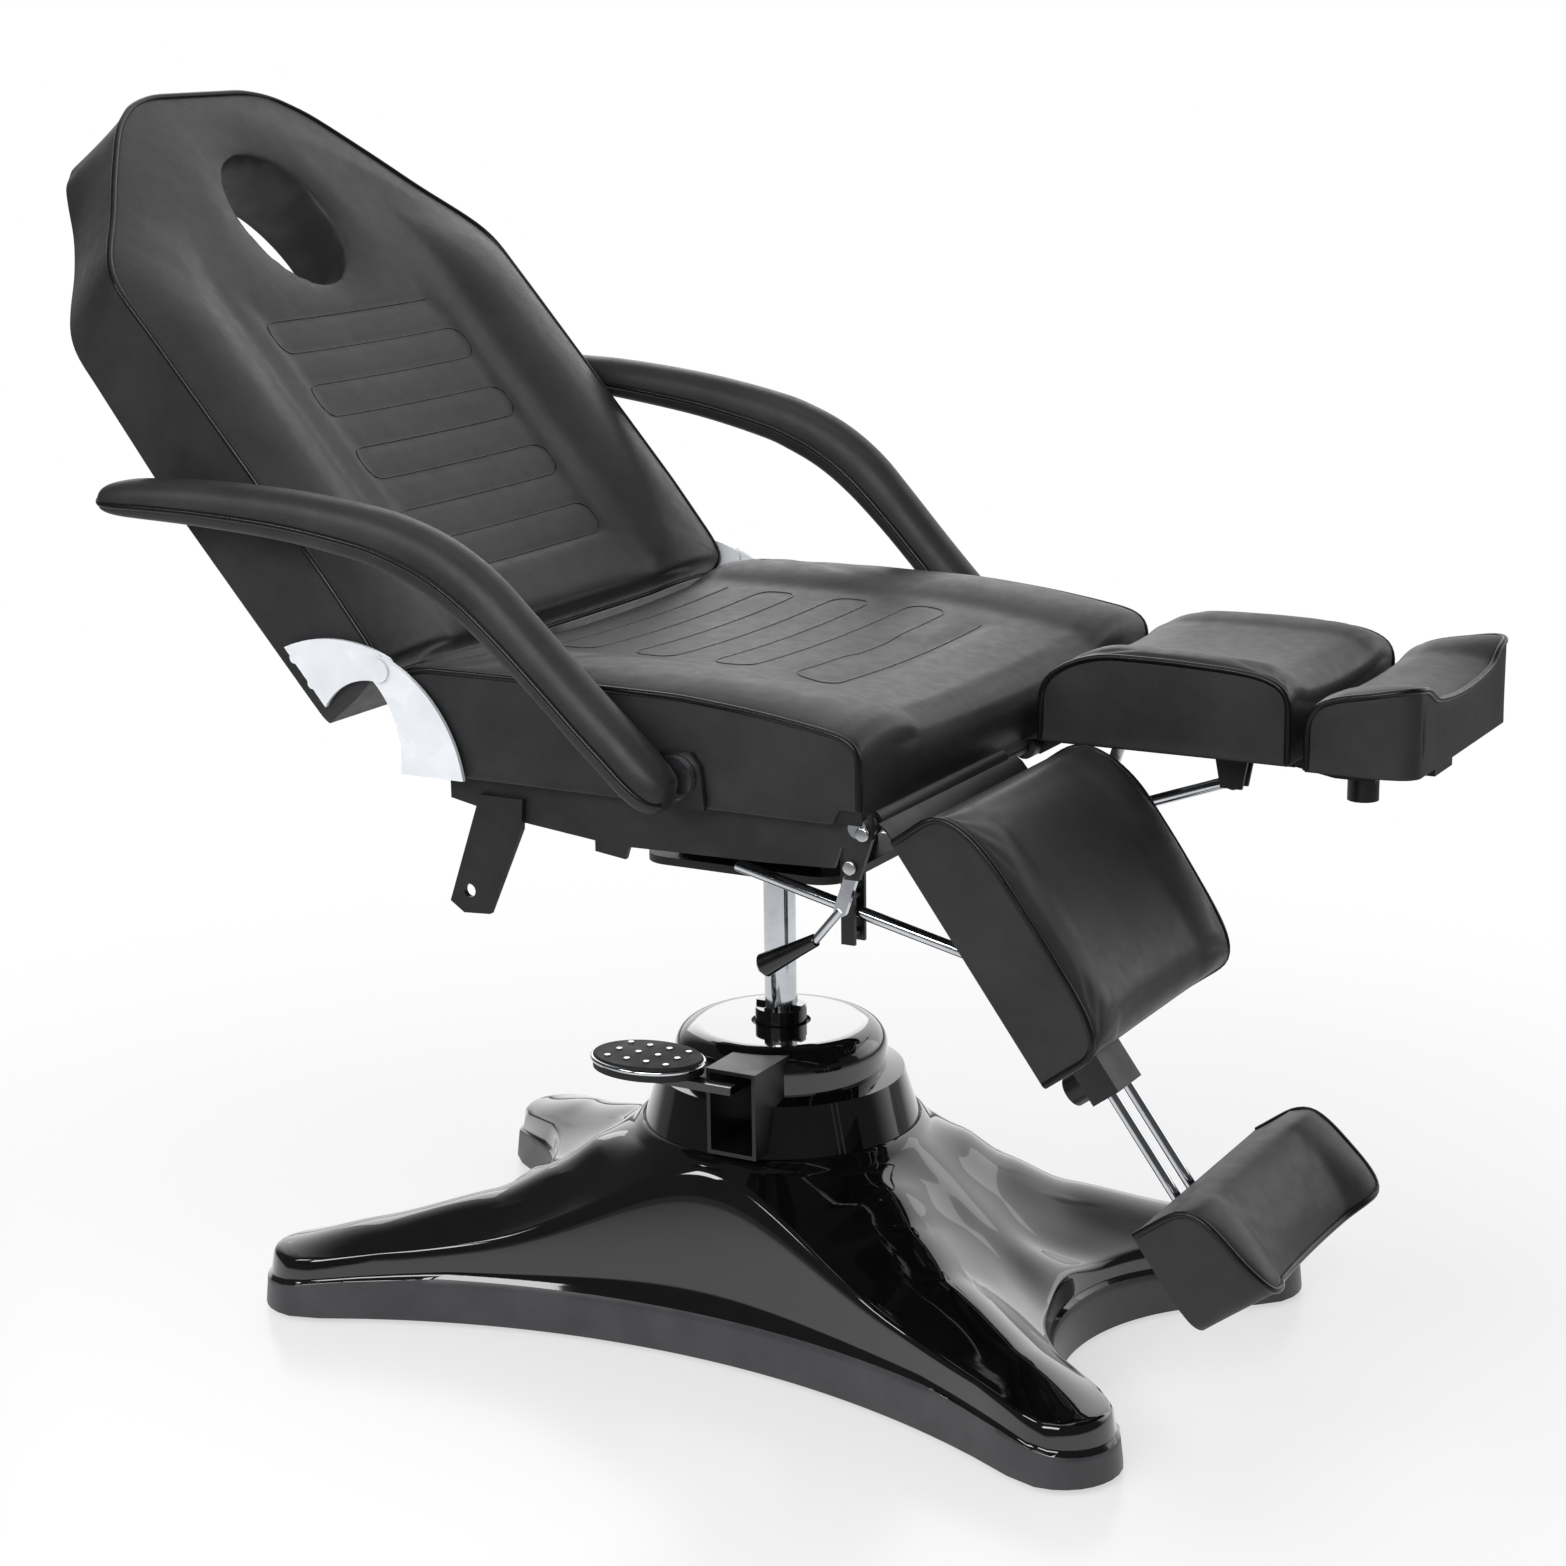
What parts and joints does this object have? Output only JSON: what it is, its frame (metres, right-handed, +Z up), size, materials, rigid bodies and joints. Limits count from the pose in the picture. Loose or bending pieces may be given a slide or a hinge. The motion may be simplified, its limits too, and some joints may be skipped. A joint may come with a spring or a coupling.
{
  "type": "tattoo chair",
  "caption": "Hydraulic tattoo chair with star base, foot pump, swivel seat, reclining back with face hole, swing-up armrests, separate leg rests and sliding foot rests.",
  "frame": {"origin": "on the floor, on the axis of the lift column", "axes": "+X towards the sitter's feet, +Y to the sitter's left, +Z up"},
  "size_m": [1.3798, 0.768, 1.1874],
  "materials": {
    "gloss_shell": "high gloss",
    "black_steel": "satin powder coat",
    "grey_steel": "satin",
    "foot_rubber": "matte",
    "grip_rubber": "satin",
    "chromed_steel": "polished",
    "bright_plate": "brushed",
    "backing_board": "black cloth over plywood",
    "black_upholstery": "fine grain, semi-matte",
    "arm_upholstery": "fine grain, semi-matte",
    "knob_plastic": "satin"
  },
  "bodies": {
    "base": {"base_cover": "gloss_shell", "base_frame": "black_steel", "levelling_foot_front_left": "foot_rubber", "levelling_foot_front_right": "foot_rubber", "levelling_foot_rear_left": "foot_rubber", "levelling_foot_rear_right": "foot_rubber", "pump_cylinder": "black_steel", "pump_shroud": "gloss_shell", "slot_guard": "grey_steel", "column_gland": "chromed_steel"},
    "pedal": {"pedal_lever": "grey_steel", "pedal_tread": "foot_rubber"},
    "lift": {"lift_column": "chromed_steel"},
    "seat": {"swivel_head": "black_steel", "seat_carrier": "black_steel", "beam_rear": "black_steel", "beam_middle": "black_steel", "beam_front": "black_steel", "seat_rail_left": "black_steel", "seat_rail_right": "black_steel", "corner_bracket_left": "black_steel", "corner_bracket_right": "black_steel", "front_axle": "chromed_steel", "seat_board": "backing_board", "seat_cushion": "black_upholstery", "hinge_plate_left": "bright_plate", "hinge_plate_right": "bright_plate", "arm_bracket_left": "black_steel", "arm_bracket_right": "black_steel"},
    "backrest": {"back_board": "backing_board", "back_cushion": "black_upholstery", "back_plate_left": "bright_plate", "back_plate_right": "bright_plate", "back_arm": "black_steel"},
    "back_strut_body": {"back_strut": "chromed_steel"},
    "armrest_left": {"arm_pad_left": "arm_upholstery", "arm_hub_left": "chromed_steel"},
    "leg_rest_left": {"leg_cushion_left": "black_upholstery", "leg_board_left": "backing_board", "leg_frame_left": "black_steel"},
    "foot_rest_left": {"foot_cushion_left": "black_upholstery", "foot_board_left": "backing_board", "foot_rods_left": "chromed_steel"},
    "knob_left": {"clamp_knob_left": "knob_plastic"},
    "strut_left": {"leg_strut_left": "chromed_steel"},
    "lever_left": {"lever_rod_left": "chromed_steel", "lever_grip_left": "grip_rubber"},
    "armrest_right": {"arm_pad_right": "arm_upholstery", "arm_hub_right": "chromed_steel"},
    "leg_rest_right": {"leg_cushion_right": "black_upholstery", "leg_board_right": "backing_board", "leg_frame_right": "black_steel"},
    "foot_rest_right": {"foot_cushion_right": "black_upholstery", "foot_board_right": "backing_board", "foot_rods_right": "chromed_steel"},
    "knob_right": {"clamp_knob_right": "knob_plastic"},
    "strut_right": {"leg_strut_right": "chromed_steel"},
    "lever_right": {"lever_rod_right": "chromed_steel", "lever_grip_right": "grip_rubber"}
  },
  "joints": [
    {"name": "pedal_hinge", "type": "hinge", "parent": "base", "child": "pedal", "pos_m": [0.027, -0.075, 0.268], "axis": [1, 0, 0], "range_deg": [0, 14], "stiffness_Nm_per_rad": 12, "springref_deg": -6.88},
    {"name": "column_lift", "type": "slide", "parent": "base", "child": "lift", "axis": [0, 0, 1], "range_m": [-0.11, 0.07]},
    {"name": "seat_swivel", "type": "hinge", "parent": "lift", "child": "seat", "pos_m": [0, 0, 0.46], "axis": [0, 0, 1], "continuous": true},
    {"name": "back_recline", "type": "hinge", "parent": "seat", "child": "backrest", "pos_m": [-0.236, 0, 0.696], "axis": [0, 1, 0], "range_deg": [-48.9, 22]},
    {"name": "back_strut_pin", "type": "hinge", "parent": "backrest", "child": "back_strut_body", "pos_m": [-0.28661, 0.105, 0.57759], "axis": [0, 1, 0], "range_deg": [-22.2, 49.1]},
    {"name": "arm_hinge_left", "type": "hinge", "parent": "seat", "child": "armrest_left", "pos_m": [0.08, 0.33, 0.629], "axis": [0, 1, 0], "range_deg": [-29.5, 55.5]},
    {"name": "leg_hinge_left", "type": "hinge", "parent": "seat", "child": "leg_rest_left", "pos_m": [0.252, 0.155, 0.598], "axis": [0, 1, 0], "range_deg": [0, 77]},
    {"name": "foot_slide_left", "type": "slide", "parent": "leg_rest_left", "child": "foot_rest_left", "axis": [1, 0, 0], "range_m": [0, 0.15]},
    {"name": "knob_turn_left", "type": "hinge", "parent": "leg_rest_left", "child": "knob_left", "pos_m": [0.547, 0.155, 0.566], "axis": [0, 0, 1], "range_deg": [-90, 90]},
    {"name": "strut_pin_left", "type": "hinge", "parent": "leg_rest_left", "child": "strut_left", "pos_m": [0.418, 0.155, 0.556], "axis": [0, 1, 0], "range_deg": [-30.2, 0]},
    {"name": "lever_hinge_left", "type": "hinge", "parent": "seat", "child": "lever_left", "pos_m": [0.242, 0.3, 0.557], "axis": [0, 1, 0], "range_deg": [0, 12], "stiffness_Nm_per_rad": 1.5, "springref_deg": -2.86},
    {"name": "arm_hinge_right", "type": "hinge", "parent": "seat", "child": "armrest_right", "pos_m": [0.08, -0.33, 0.629], "axis": [0, 1, 0], "range_deg": [-25, 60]},
    {"name": "leg_hinge_right", "type": "hinge", "parent": "seat", "child": "leg_rest_right", "pos_m": [0.252, -0.155, 0.598], "axis": [0, 1, 0], "range_deg": [-53.9, 23.1]},
    {"name": "foot_slide_right", "type": "slide", "parent": "leg_rest_right", "child": "foot_rest_right", "axis": [0.5892, 0, -0.808], "range_m": [-0.13, 0.02]},
    {"name": "knob_turn_right", "type": "hinge", "parent": "leg_rest_right", "child": "knob_right", "pos_m": [0.39996, -0.155, 0.34079], "axis": [0.808, 0, 0.5892], "range_deg": [-90, 90]},
    {"name": "strut_pin_right", "type": "hinge", "parent": "leg_rest_right", "child": "strut_right", "pos_m": [0.31587, -0.155, 0.43913], "axis": [0, 1, 0], "range_deg": [-9.1, 21.2]},
    {"name": "lever_hinge_right", "type": "hinge", "parent": "seat", "child": "lever_right", "pos_m": [0.242, -0.3, 0.557], "axis": [0, 1, 0], "range_deg": [0, 12], "stiffness_Nm_per_rad": 1.5, "springref_deg": -2.86}
  ],
  "couplings": [
    {"joint": "back_strut_pin", "follows": "back_recline", "ratio": -1},
    {"joint": "strut_pin_left", "follows": "leg_hinge_left", "ratio": -0.391},
    {"joint": "strut_pin_right", "follows": "leg_hinge_right", "ratio": -0.391}
  ]
}
